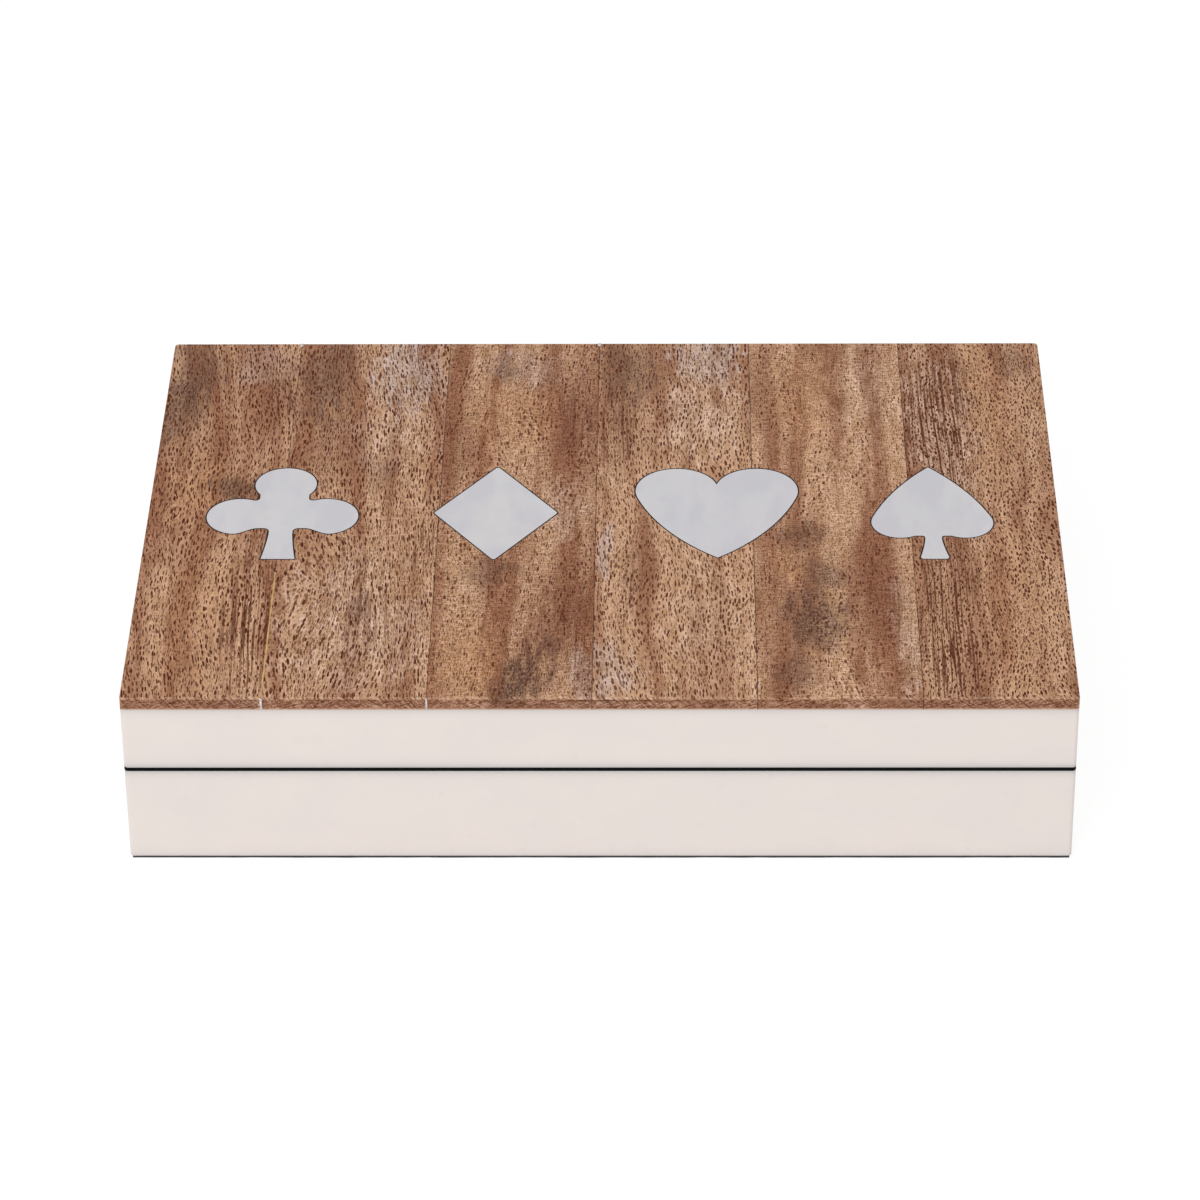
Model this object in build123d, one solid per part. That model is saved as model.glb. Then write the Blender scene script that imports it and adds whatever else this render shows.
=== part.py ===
from build123d import *
import os
from math import atan2, cos, degrees, radians, sin, sqrt, tan

# A flat box for two decks of playing cards: a base tray and a lid on two butt hinges let into the back.
# Both are board frames clad in resin slabs, and the lid's top is wood slats with the four suits inlaid.
# Origin: middle of the underside. +X to the right, +Y to the hinges at the back, +Z up. Millimetres.

# Outside of the closed box
BOX_WIDTH = 180.0
BOX_DEPTH = 130.0
BASE_HEIGHT = 21.0
LID_HEIGHT = 16.3
SEAM_GAP = 0.1
CORNER_RADIUS = 0.8
BOTTOM_EDGE_RADIUS = 0.3
TOP_EDGE_RADIUS = 0.35

# Thickness of the sides, from the outside inwards, and of the edging on the rims
CLADDING_THICKNESS = 3.0
WALL_THICKNESS = 9.0
EDGING_THICKNESS = 0.36

# Base: felt underneath, floor board, divider between the decks and lining of the wells
FELT_THICKNESS = 0.6
FELT_INSET = 0.3
FLOOR_THICKNESS = 4.0
LINING_THICKNESS = 0.8
LINING_CLEARANCE = 0.3
DIVIDER_THICKNESS = 6.0
DIVIDER_BELOW_RIM = 3.0
DADO_DEPTH = 2.0
DADO_CLEARANCE = 0.1

# Lid: board under the slats, and the slats, whose last one takes what is left of the width
BOARD_THICKNESS = 4.0
SLAT_THICKNESS = 2.65
SLAT_WIDTH = 31.05
FIRST_SLAT_WIDTH = 26.6
SLAT_JOINT = 0.15

# Suits: spread evenly between the club and the spade, with the small shifts of hand work
CLUB_HEIGHT = 33.25
DIAMOND_HEIGHT = 34.2
HEART_HEIGHT = 32.55
SPADE_HEIGHT = 33.5
CLUB_FROM_LEFT = 26.7
SPADE_FROM_RIGHT = 24.95
DIAMOND_SHIFT = -0.6
HEART_SHIFT = 0.4
SUIT_ROW_Y = -0.65
INLAY_DEPTH = 1.6
GLUE_LINE = 0.28

# Hinges: leaves in stopped mortises, barrels flush with the back, bevels that stop the open lid
HINGE_LENGTH = 25.0
HINGE_FROM_END = 38.0
HINGE_CLEARANCE = 0.25
LEAF_DEPTH = 8.0
LEAF_THICKNESS = 1.0
LEAF_GAP = 0.3
BARREL_RADIUS = 1.6
BARREL_INSET = 0.1
KNUCKLE_GAP = 0.1
KNUCKLE_COUNT = 3
PIN_RADIUS = 0.8
PIN_CLEARANCE = 0.03
LID_OPENING_DEG = 100.0
STOP_CLEARANCE_DEG = 0.5

# Countersunk screws of the hinges
SCREW_SPACING = 14.0
SCREW_LENGTH = 7.5
SCREW_TIP = 2.0
SCREW_HEAD_RADIUS = 1.7
SCREW_SHANK_RADIUS = 0.9
SCREW_CLEARANCE = 0.03
SCREW_SLOT_WIDTH = 0.45
SCREW_SLOT_DEPTH = 0.35

# How far a cutting solid runs past what it cuts
OVERCUT = 1.0

# Which way the base and the lid lie from the seam
BASE_SIDE = -1
LID_SIDE = 1

# Levels, from the underside up
FELT_TOP = FELT_THICKNESS
FLOOR_TOP = FELT_TOP + FLOOR_THICKNESS
DIVIDER_TOP = BASE_HEIGHT - DIVIDER_BELOW_RIM
BASE_WALL_TOP = BASE_HEIGHT - EDGING_THICKNESS
LID_BOTTOM = BASE_HEIGHT + SEAM_GAP
LID_WALL_BOTTOM = LID_BOTTOM + EDGING_THICKNESS
BOX_TOP = LID_BOTTOM + LID_HEIGHT
SLAT_BOTTOM = BOX_TOP - SLAT_THICKNESS
BOARD_BOTTOM = SLAT_BOTTOM - BOARD_THICKNESS

# Half sizes of the outside, of the board frame inside the cladding, and of the hollow
OUTER_X = BOX_WIDTH / 2
OUTER_Y = BOX_DEPTH / 2
FRAME_X = OUTER_X - CLADDING_THICKNESS
FRAME_Y = OUTER_Y - CLADDING_THICKNESS
INNER_X = FRAME_X - WALL_THICKNESS
INNER_Y = FRAME_Y - WALL_THICKNESS

# Hinge axis, in the middle of the seam
AXIS_Y = OUTER_Y - BARREL_INSET - BARREL_RADIUS
AXIS_Z = BASE_HEIGHT + SEAM_GAP / 2
BARREL_SLOT_RADIUS = BARREL_RADIUS + HINGE_CLEARANCE
SCREW_Y = AXIS_Y - (LEAF_DEPTH + BARREL_SLOT_RADIUS) / 2
HINGE_PLACES = {"left": HINGE_FROM_END - OUTER_X, "right": OUTER_X - HINGE_FROM_END}


def block(x_limits, y_limits, z_limits):
    """Rectangular solid between two limits on each axis."""
    limits = (x_limits, y_limits, z_limits)
    low = [pair[0] for pair in limits]
    size = [pair[1] - pair[0] for pair in limits]
    return Pos(*low) * Box(*size, align=(Align.MIN, Align.MIN, Align.MIN))


def slab(inset, z_limits):
    """Slab of the box's outline, or of one inside it, with rounded corners."""
    outline = RectangleRounded(BOX_WIDTH - 2 * inset, BOX_DEPTH - 2 * inset, CORNER_RADIUS)
    return Pos(0, 0, z_limits[0]) * extrude(outline, z_limits[1] - z_limits[0])


def hollow_out(solid, half_x, half_y, z_limits):
    """The solid with a rectangular hole through it."""
    hole_z = (z_limits[0] - OVERCUT, z_limits[1] + OVERCUT)
    return solid - block((-half_x, half_x), (-half_y, half_y), hole_z)


def mitred_sides(frame, thickness, z_limits):
    """A frame on the box's outline, sawn at 45 degrees through its corners into four lengths."""
    depth = thickness + OVERCUT
    corners = [(-OUTER_X, -OUTER_Y), (OUTER_X, -OUTER_Y), (OUTER_X, OUTER_Y), (-OUTER_X, OUTER_Y)]
    inside = [(-OUTER_X + depth, -OUTER_Y + depth), (OUTER_X - depth, -OUTER_Y + depth),
              (OUTER_X - depth, OUTER_Y - depth), (-OUTER_X + depth, OUTER_Y - depth)]
    sides = {}
    for index, side in enumerate(("front", "right", "back", "left")):
        after = (index + 1) % 4
        outline = Polyline(corners[index], corners[after], inside[after], inside[index], close=True)
        sector = extrude(make_face(outline), z_limits[1] - z_limits[0])
        sides[side] = frame & (Pos(0, 0, z_limits[0]) * sector)
    return sides


def frame_walls(z_limits):
    """Four boards butted into a frame: the front and back ones run its full width."""
    long_x = (-FRAME_X, FRAME_X)
    short_y = (-INNER_Y, INNER_Y)
    return {
        "front": block(long_x, (-FRAME_Y, -INNER_Y), z_limits),
        "back": block(long_x, (INNER_Y, FRAME_Y), z_limits),
        "left": block((-FRAME_X, -INNER_X), short_y, z_limits),
        "right": block((INNER_X, FRAME_X), short_y, z_limits),
    }


def cladding(frame, z_limits):
    """Four mitred slabs cut from a solid of the box's outline."""
    hollow = hollow_out(frame, FRAME_X, FRAME_Y, z_limits)
    return mitred_sides(hollow, CLADDING_THICKNESS, z_limits)


def stop_bevel(side):
    """Wedge cut off the back edge of the base or the lid, along the seam."""
    reach = OUTER_Y + OVERCUT - AXIS_Y
    rise = reach * tan(radians(LID_OPENING_DEG / 2 + STOP_CLEARANCE_DEG))
    points = [(AXIS_Y, AXIS_Z), (AXIS_Y + reach, AXIS_Z), (AXIS_Y + reach, AXIS_Z + side * rise)]
    return extrude(Plane.YZ * make_face(Polyline(*points, close=True)), OUTER_X + OVERCUT, both=True)


def on_axis(radius, x_limits):
    """Round bar on the hinge axis between two limits along it."""
    length = x_limits[1] - x_limits[0]
    return Pos(x_limits[0] + length / 2, AXIS_Y, AXIS_Z) * Rot(0, 90, 0) * Cylinder(radius, length)


def hinge_limits(centre_x, extra=0.0):
    """The two ends of a hinge along X."""
    return (centre_x - HINGE_LENGTH / 2 - extra, centre_x + HINGE_LENGTH / 2 + extra)


def leaf_levels(side):
    """The low and high face of the base's or the lid's leaf."""
    face = AXIS_Z + side * LEAF_GAP / 2
    return sorted((face, face + side * LEAF_THICKNESS))


def screw_body(clearance):
    """Turned body of a countersunk screw that points down, its head's top at the origin."""
    head = SCREW_HEAD_RADIUS + clearance
    shank = SCREW_SHANK_RADIUS + clearance
    tip = -SCREW_LENGTH - clearance
    points = [(0, 0), (head, 0), (shank, -LEAF_THICKNESS), (shank, tip + SCREW_TIP), (0, tip)]
    return revolve(Plane.XZ * make_face(Polyline(*points, close=True)), Axis.Z)


def screw():
    """Countersunk slotted screw."""
    slot_x = (-SCREW_HEAD_RADIUS - OVERCUT, SCREW_HEAD_RADIUS + OVERCUT)
    slot_y = (-SCREW_SLOT_WIDTH / 2, SCREW_SLOT_WIDTH / 2)
    return screw_body(0) - block(slot_x, slot_y, (-SCREW_SLOT_DEPTH, OVERCUT))


def screw_hole():
    """Countersunk hole for a screw, open above its head."""
    head = SCREW_HEAD_RADIUS + SCREW_CLEARANCE
    mouth = Cylinder(head, OVERCUT, align=(Align.CENTER, Align.CENTER, Align.MIN))
    return screw_body(SCREW_CLEARANCE) + mouth


def at_screws(shape, side, centre_x):
    """Copies of a downward shape at a leaf's screw places, turned over for the lid's leaf."""
    level = AXIS_Z + side * LEAF_GAP / 2
    turn = Rot(0, 0, 0) if side == BASE_SIDE else Rot(180, 0, 0)
    offsets = (-SCREW_SPACING / 2, SCREW_SPACING / 2)
    return [Pos(centre_x + offset_x, SCREW_Y, level) * turn * shape for offset_x in offsets]


def hinge_leaf(centre_x, side):
    """Leaf with its knuckles: the base's leaf has the first and every other one after it."""
    z_limits = leaf_levels(side)
    x_limits = hinge_limits(centre_x)
    plate_end = AXIS_Y - BARREL_SLOT_RADIUS
    leaf = block(x_limits, (AXIS_Y - LEAF_DEPTH, plate_end), z_limits)
    pitch = HINGE_LENGTH / KNUCKLE_COUNT
    for index in range(0 if side == BASE_SIDE else 1, KNUCKLE_COUNT, 2):
        start = x_limits[0] + index * pitch
        knuckle = (start + KNUCKLE_GAP / 2, start + pitch - KNUCKLE_GAP / 2)
        leaf += block(knuckle, (plate_end, AXIS_Y), z_limits)
        leaf += on_axis(BARREL_RADIUS, knuckle)
    leaf -= on_axis(PIN_RADIUS + PIN_CLEARANCE, hinge_limits(centre_x, OVERCUT))
    for hole in at_screws(screw_hole(), side, centre_x):
        leaf -= hole
    return leaf


def hinge_cuts(side):
    """What is cut out of the base or the lid for both hinges: mortises, barrel slots, screw holes."""
    cuts = []
    for centre_x in HINGE_PLACES.values():
        low, high = leaf_levels(side)
        mortise_z = (low, AXIS_Z + OVERCUT) if side == BASE_SIDE else (AXIS_Z - OVERCUT, high)
        x_limits = hinge_limits(centre_x, HINGE_CLEARANCE)
        cuts.append(block(x_limits, (AXIS_Y - LEAF_DEPTH - HINGE_CLEARANCE, AXIS_Y), mortise_z))
        cuts.append(on_axis(BARREL_SLOT_RADIUS, x_limits))
        slot_z = (AXIS_Z - BARREL_SLOT_RADIUS, AXIS_Z + BARREL_SLOT_RADIUS)
        cuts.append(block(x_limits, (AXIS_Y, OUTER_Y + OVERCUT), slot_z))
        cuts += at_screws(screw_hole(), side, centre_x)
    return cuts


def cut_back(piece, side):
    """A back piece of the base or the lid with its bevel and its hinge cuts."""
    piece -= stop_bevel(side)
    for cut in hinge_cuts(side):
        piece -= cut
    return piece


def rim_edging(z_limits, side):
    """Four thin mitred strips that cover a rim, cladding and wall together."""
    frame = hollow_out(slab(0, z_limits), INNER_X, INNER_Y, z_limits)
    strips = mitred_sides(frame, CLADDING_THICKNESS + WALL_THICKNESS, z_limits)
    strips["back"] = cut_back(strips["back"], side)
    for name in ("left", "right"):
        strips[name] -= stop_bevel(side)
    return Compound([solid for strip in strips.values() for solid in strip.solids()])


# The suits are drawn in shares of their height, from the foot or lower tip at zero
STEM_HOLLOW = 0.4


def both_halves(half):
    """Face inside a half outline, drawn from top to bottom on the right, and its mirror image."""
    right = Curve() + half
    return make_face(right + mirror(right, Plane.YZ))


def round_corners(face, radius, x, y):
    """Fillets at the corner nearest to a point and at its mirror image."""
    corners = [face.vertices().sort_by_distance((side * x, y))[0] for side in (-1, 1)]
    return fillet(corners, radius)


def flared_stem(neck, foot, waist, top):
    """Stem of a club or spade, straight above its waist and hollow-sided below: half widths and heights."""
    halfway = (neck + (foot - neck) * STEM_HOLLOW, waist / 2)
    straight = Polyline((0, top), (neck, top), (neck, waist))
    return both_halves([straight, ThreePointArc((neck, waist), halfway, (foot, 0)), Line((foot, 0), (0, 0))])


def leaf_lobe(lobe_x, lobe_y, radius, start_deg, sweep_deg, tip):
    """Half of a heart-like leaf: a round lobe that runs on into a long flat arc to the tip."""
    end = radians(start_deg + sweep_deg)
    turn = 1 if sweep_deg > 0 else -1
    end_point = (lobe_x + radius * cos(end), lobe_y + radius * sin(end))
    heading = (-turn * sin(end), turn * cos(end))
    lobe = CenterArc((lobe_x, lobe_y), radius, start_deg, sweep_deg)
    return [lobe, TangentArc(end_point, tip, tangent=heading)]


def club(height):
    """Three lobes about a block, on a flared stem, with a notch under the side lobes that slopes outwards."""
    top_radius = 0.184 * height
    top_y = height - top_radius
    side_radius = 0.193 * height
    side_x = 0.258 * height
    side_y = 0.462 * height
    side_bottom = side_y - side_radius
    block_half_width = 0.146 * height
    inner_corner_y = side_y + sqrt(side_radius**2 - (side_x - block_half_width) ** 2)
    notch_x = 0.16 * height
    notch_y = 0.334 * height
    notch_foot = (0.3 * height, 0.25 * height)
    neck = 0.07 * height
    face = Pos(0, top_y) * Circle(top_radius)
    for lobe_x in (-side_x, side_x):
        face += Pos(lobe_x, side_y) * Circle(side_radius)
    face += Pos(0, (top_y + side_bottom) / 2) * Rectangle(2 * block_half_width, top_y - side_bottom)
    face -= both_halves([Polyline((0, notch_y), (notch_x, notch_y), notch_foot, (0, notch_foot[1]))])
    face += flared_stem(neck, foot=0.1 * height, waist=0.26 * height, top=side_y)
    face = round_corners(face, 0.09 * height, side_x, side_bottom)
    face = round_corners(face, 0.09 * height, notch_x, notch_y)
    face = round_corners(face, 0.035 * height, neck, notch_y)
    return round_corners(face, 0.027 * height, block_half_width, inner_corner_y)


def diamond(height):
    """Four straight sides between points that are a little worn."""
    half_width = 0.358 * height
    points = [(0, height), (half_width, height / 2), (0, 0), (-half_width, height / 2)]
    face = make_face(Polyline(*points, close=True))
    return fillet(face.vertices(), 0.015 * height)


def heart(height):
    """Two lobes that meet in a notch: the lobe's circle touches the heart's top and its side."""
    half_width = 0.496 * height
    notch = 0.181 * height
    end_deg = -18
    radius = half_width + notch - sqrt(2 * half_width * notch)
    lobe_x = half_width - radius
    lobe_y = height - radius
    start_deg = degrees(atan2(height - notch - lobe_y, -lobe_x))
    return both_halves(leaf_lobe(lobe_x, lobe_y, radius, start_deg, end_deg - start_deg, (0, 0)))


def spade(height):
    """An upturned leaf on a flared stem."""
    radius = 0.167 * height
    lobe_x = 0.191 * height
    lobe_y = 0.392 * height
    start_deg = -120
    end_deg = 20
    start_x = lobe_x + radius * cos(radians(start_deg))
    start_y = lobe_y + radius * sin(radians(start_deg))
    neck = 0.049 * height
    foot = 0.087 * height
    corner_radius = 0.018 * height
    half = leaf_lobe(lobe_x, lobe_y, radius, start_deg, end_deg - start_deg, (0, height))
    face = both_halves([Line((0, start_y), (start_x, start_y))] + half)
    face += flared_stem(neck, foot, waist=0.2 * height, top=lobe_y)
    face = round_corners(face, corner_radius, foot, 0)
    face = round_corners(face, corner_radius, start_x, start_y)
    return round_corners(face, corner_radius, neck, start_y)


def suit_faces():
    """The outline of each suit at its place on the lid."""
    club_x = CLUB_FROM_LEFT - OUTER_X
    pitch = (OUTER_X - SPADE_FROM_RIGHT - club_x) / 3
    suits = {
        "club": (club, CLUB_HEIGHT, club_x),
        "diamond": (diamond, DIAMOND_HEIGHT, club_x + pitch + DIAMOND_SHIFT),
        "heart": (heart, HEART_HEIGHT, club_x + 2 * pitch + HEART_SHIFT),
        "spade": (spade, SPADE_HEIGHT, club_x + 3 * pitch),
    }
    faces = {}
    for name, (draw, height, middle_x) in suits.items():
        faces[name] = Pos(middle_x, SUIT_ROW_Y - height / 2) * draw(height)
    return faces


def slat_joints():
    """Places of the joints between slats: the last slat is never under half a slat wide."""
    joints = [FIRST_SLAT_WIDTH - OUTER_X]
    while joints[-1] + 1.5 * SLAT_WIDTH < OUTER_X:
        joints.append(joints[-1] + SLAT_WIDTH)
    return joints


def inlaid_top():
    """The slats with their pockets, the inlays and the glue round them."""
    pocket_bottom = BOX_TOP - INLAY_DEPTH
    pockets = {}
    pieces = {}
    glue = []
    for name, face in suit_faces().items():
        inlay = Pos(0, 0, pocket_bottom) * extrude(face, INLAY_DEPTH)
        pocket_face = offset(face, GLUE_LINE, kind=Kind.ARC)
        pockets[name] = Pos(0, 0, pocket_bottom) * extrude(pocket_face, INLAY_DEPTH + OVERCUT)
        pieces[f"{name}_inlay"] = inlay
        glue.append(Pos(0, 0, pocket_bottom) * extrude(pocket_face, INLAY_DEPTH) - inlay)
    pieces["inlay_glue_lines"] = Compound([solid for ring in glue for solid in ring.solids()])

    top = slab(0, (SLAT_BOTTOM, BOX_TOP))
    top = fillet(top.edges().group_by(Axis.Z)[-1], TOP_EDGE_RADIUS)
    for pocket in pockets.values():
        top -= pocket
    edges = [-OUTER_X - OVERCUT] + slat_joints() + [OUTER_X + OVERCUT]
    for index, (left, right) in enumerate(zip(edges, edges[1:]), start=1):
        slat_x = (left + SLAT_JOINT / 2, right - SLAT_JOINT / 2)
        slat_y = (-OUTER_Y - OVERCUT, OUTER_Y + OVERCUT)
        pieces[f"top_slat_{index}"] = top & block(slat_x, slat_y, (SLAT_BOTTOM - OVERCUT, BOX_TOP + OVERCUT))
    return pieces


def base_tray():
    """Floor, walls, cladding, edging, felt, lining and divider of the base."""
    pieces = {}
    wall_z = (FELT_TOP, BASE_WALL_TOP)
    pieces["base_floor_board"] = block((-INNER_X, INNER_X), (-INNER_Y, INNER_Y), (FELT_TOP, FLOOR_TOP))

    walls = frame_walls(wall_z)
    dado_x = (-DIVIDER_THICKNESS / 2 - DADO_CLEARANCE, DIVIDER_THICKNESS / 2 + DADO_CLEARANCE)
    dado_y = (-INNER_Y - DADO_DEPTH, INNER_Y + DADO_DEPTH)
    dado = block(dado_x, dado_y, (FLOOR_TOP, DIVIDER_TOP + DADO_CLEARANCE))
    walls["front"] -= dado
    walls["back"] = cut_back(walls["back"] - dado, BASE_SIDE)

    outer = slab(0, wall_z)
    outer = fillet(outer.edges().group_by(Axis.Z)[0], BOTTOM_EDGE_RADIUS)
    slabs = cladding(outer, wall_z)
    slabs["back"] = cut_back(slabs["back"], BASE_SIDE)
    for side in ("left", "right"):
        slabs[side] -= stop_bevel(BASE_SIDE)
    for side in ("front", "back", "left", "right"):
        pieces[f"base_{side}_wall"] = walls[side]
        pieces[f"base_{side}_cladding"] = slabs[side]

    pieces["base_rim_edging"] = rim_edging((BASE_WALL_TOP, BASE_HEIGHT), BASE_SIDE)
    pieces["underside_felt"] = slab(FELT_INSET, (0, FELT_TOP))

    divider_x = (-DIVIDER_THICKNESS / 2, DIVIDER_THICKNESS / 2)
    divider_end = INNER_Y + DADO_DEPTH - DADO_CLEARANCE
    pieces["deck_divider"] = block(divider_x, (-divider_end, divider_end), (FLOOR_TOP, DIVIDER_TOP))
    lining_x = (DIVIDER_THICKNESS / 2 + LINING_CLEARANCE, INNER_X - LINING_CLEARANCE)
    lining_y = (-INNER_Y + LINING_CLEARANCE, INNER_Y - LINING_CLEARANCE)
    lining = block(lining_x, lining_y, (FLOOR_TOP, FLOOR_TOP + LINING_THICKNESS))
    pieces["right_well_lining"] = lining
    pieces["left_well_lining"] = mirror(lining, Plane.YZ)
    return pieces


def lid_shell():
    """Board, walls, cladding, edging and lining of the lid."""
    pieces = {}
    board = block((-FRAME_X, FRAME_X), (-FRAME_Y, FRAME_Y), (BOARD_BOTTOM, SLAT_BOTTOM))
    pieces["lid_board"] = cut_back(board, LID_SIDE)
    walls = frame_walls((LID_WALL_BOTTOM, BOARD_BOTTOM))
    walls["back"] = cut_back(walls["back"], LID_SIDE)

    slab_z = (LID_WALL_BOTTOM, SLAT_BOTTOM)
    slabs = cladding(slab(0, slab_z), slab_z)
    slabs["back"] = cut_back(slabs["back"], LID_SIDE)
    for side in ("left", "right"):
        slabs[side] -= stop_bevel(LID_SIDE)
    for side in ("front", "back", "left", "right"):
        pieces[f"lid_{side}_wall"] = walls[side]
        pieces[f"lid_{side}_cladding"] = slabs[side]

    pieces["lid_rim_edging"] = rim_edging((LID_BOTTOM, LID_WALL_BOTTOM), LID_SIDE)
    lining_x = (-INNER_X + LINING_CLEARANCE, INNER_X - LINING_CLEARANCE)
    lining_y = (-INNER_Y + LINING_CLEARANCE, INNER_Y - LINING_CLEARANCE)
    pieces["lid_lining"] = block(lining_x, lining_y, (BOARD_BOTTOM - LINING_THICKNESS, BOARD_BOTTOM))
    return pieces


def hinges():
    """Leaves, pins and screws of both hinges."""
    pieces = {}
    screws = {BASE_SIDE: [], LID_SIDE: []}
    for place, centre_x in HINGE_PLACES.items():
        pieces[f"hinge_{place}_base_leaf"] = hinge_leaf(centre_x, BASE_SIDE)
        pieces[f"hinge_{place}_lid_leaf"] = hinge_leaf(centre_x, LID_SIDE)
        pieces[f"hinge_{place}_pin"] = on_axis(PIN_RADIUS, hinge_limits(centre_x))
        for side, group in screws.items():
            group += at_screws(screw(), side, centre_x)
    for name, side in (("base_hinge_screws", BASE_SIDE), ("lid_hinge_screws", LID_SIDE)):
        pieces[name] = Compound([solid for one in screws[side] for solid in one.solids()])
    return pieces


parts = base_tray() | lid_shell() | inlaid_top() | hinges()
os.makedirs("parts", exist_ok=True)
for name, piece in parts.items():
    export_step(piece, f"parts/{name}.step")
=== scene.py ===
import math
from collections import namedtuple

import bmesh
import bpy
from bpy.props import FloatProperty, FloatVectorProperty, PointerProperty
from bpy.types import Operator, Panel, PropertyGroup
from mathutils import Matrix, Vector, noise


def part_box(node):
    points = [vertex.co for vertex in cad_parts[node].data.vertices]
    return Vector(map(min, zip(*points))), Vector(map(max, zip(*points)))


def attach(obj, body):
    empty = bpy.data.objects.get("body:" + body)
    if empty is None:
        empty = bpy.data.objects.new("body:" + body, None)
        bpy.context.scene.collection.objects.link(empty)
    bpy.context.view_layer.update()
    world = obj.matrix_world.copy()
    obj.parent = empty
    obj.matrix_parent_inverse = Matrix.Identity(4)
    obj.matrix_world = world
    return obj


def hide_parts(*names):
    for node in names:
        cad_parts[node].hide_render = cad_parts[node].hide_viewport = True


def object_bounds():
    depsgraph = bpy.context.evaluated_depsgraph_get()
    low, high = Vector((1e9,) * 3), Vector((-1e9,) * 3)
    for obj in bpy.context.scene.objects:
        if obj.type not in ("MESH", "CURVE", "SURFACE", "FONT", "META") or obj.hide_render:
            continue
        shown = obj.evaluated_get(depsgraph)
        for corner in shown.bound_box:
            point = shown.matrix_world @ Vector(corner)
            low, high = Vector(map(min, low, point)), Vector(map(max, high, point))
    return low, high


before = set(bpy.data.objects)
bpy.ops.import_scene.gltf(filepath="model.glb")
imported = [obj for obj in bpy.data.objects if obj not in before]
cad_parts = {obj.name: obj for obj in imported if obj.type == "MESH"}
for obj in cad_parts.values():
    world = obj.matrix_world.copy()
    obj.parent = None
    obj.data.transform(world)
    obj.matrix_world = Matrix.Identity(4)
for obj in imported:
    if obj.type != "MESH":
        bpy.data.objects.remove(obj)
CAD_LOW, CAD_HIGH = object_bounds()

bl_info = {
    "name": "Playing card box",
    "version": (1, 0, 0),
    "blender": (4, 5, 0),
    "location": "3D View > Sidebar > Card box",
    "description": "Finishes and felts of a playing card box with an inlaid wood top, and its studio",
    "category": "Object",
}

# Metres in a millimetre: the frame is in metres, and the patterns below are measured in millimetres
MM = 0.001

SIDES = ("front", "back", "left", "right")
SUITS = ("club", "diamond", "heart", "spade")
HINGES = ("left", "right")


def node_box(name):
    """Lowest and highest corner of a CAD node, in millimetres."""
    low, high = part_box(name)
    return low / MM, high / MM


def screen_colour(red, green, blue):
    """Scene colour of a colour as a screen shows it, from 0 to 255."""
    shares = (red / 255, green / 255, blue / 255)
    return tuple(c / 12.92 if c <= 0.04045 else ((c + 0.055) / 1.055) ** 2.4 for c in shares)


def colour_property(name, description, red, green, blue):
    """A colour that a user may change, given as a screen shows it."""
    return FloatVectorProperty(
        name=name,
        description=description,
        subtype="COLOR",
        size=3,
        min=0.0,
        max=1.0,
        default=screen_colour(red, green, blue),
    )


def number_property(name, description, default, subtype, **traits):
    """A number from zero upwards that a user may change."""
    return FloatProperty(
        name=name, description=description, default=default, subtype=subtype, min=0.0, **traits
    )


def length_property(name, description, default):
    """A length in metres that a user may change."""
    return number_property(name, description, default, "DISTANCE", unit="LENGTH", precision=5)


def power_property(name, description, default):
    """A lamp's power in watts that a user may change."""
    return number_property(name, description, default, "POWER", unit="POWER")


class SlatWoodSettings(PropertyGroup):
    """Tones of the lid's wood slats"""

    heart: colour_property("Heartwood", "Middle tone of the slats", 207, 163, 129)
    deep: colour_property("Deep grain", "Darker bands of the grain", 160, 110, 81)
    straw: colour_property("Straw", "Palest wood, between the pores", 222, 188, 162)
    amber: colour_property("Amber", "Orange patches", 193, 143, 103)
    umber: colour_property("Umber", "Red-brown bands and stripes", 130, 80, 56)
    smoke: colour_property("Smoke", "Dark grey stains", 78, 53, 44)
    ash: colour_property("Ash", "Pale grey stains", 198, 174, 160)
    pore: colour_property("Pores", "Open pores", 86, 36, 12)
    end: colour_property("End grain", "Cut ends at the front and back", 138, 94, 72)
    pore_length: length_property("Pore length", "Length of the long pores along the grain", 1.9 * MM)
    pore_width: length_property("Pore width", "Width of the long pores across the grain", 0.34 * MM)


class ResinSettings(PropertyGroup):
    """Tones of the cast resin"""

    cream: colour_property("Cream", "Cladding of the sides", 236, 226, 220)
    cream_shade: colour_property("Cream clouds", "Clouds in the cladding", 234, 224, 219)
    cream_edge: colour_property("Cream edges", "Grey at the cladding's edges", 108, 118, 132)
    # Painted shade: the grey that darkens the cladding near the seam, the wood and the felt
    cream_fleck: colour_property("Cream flecks", "Grey flecks in the cladding", 168, 158, 156)
    pearl: colour_property("Pearl", "Inlays of the suits", 210, 208, 211)
    pearl_shade: colour_property("Pearl clouds", "Clouds in the inlays", 203, 201, 207)
    pearl_warm: colour_property("Warm pearl", "Warmer clouds in the inlays", 220, 215, 214)
    pearl_fleck: colour_property("Pearl flecks", "Grey flecks in the inlays", 150, 148, 156)
    glue: colour_property("Inlay glue", "Dark line round the inlays", 26, 19, 17)
    glue_thin: colour_property("Thin inlay glue", "Where that line lies thin", 56, 43, 37)


class JointSettings(PropertyGroup):
    """Tones of what was left in the slats' joints"""

    dust: colour_property("Dust", "Dust in the joints' glue", 44, 28, 22)
    bead: colour_property("Glue bead", "Yellowed glue squeezed out of a joint", 216, 172, 100)
    bead_shade: colour_property("Bead shade", "Darker places of the bead", 190, 144, 84)
    filler: colour_property("Filler", "White filler at the ends of some joints", 228, 226, 228)
    filler_shade: colour_property("Filler shade", "Dirty places of the filler", 188, 178, 174)


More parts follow.
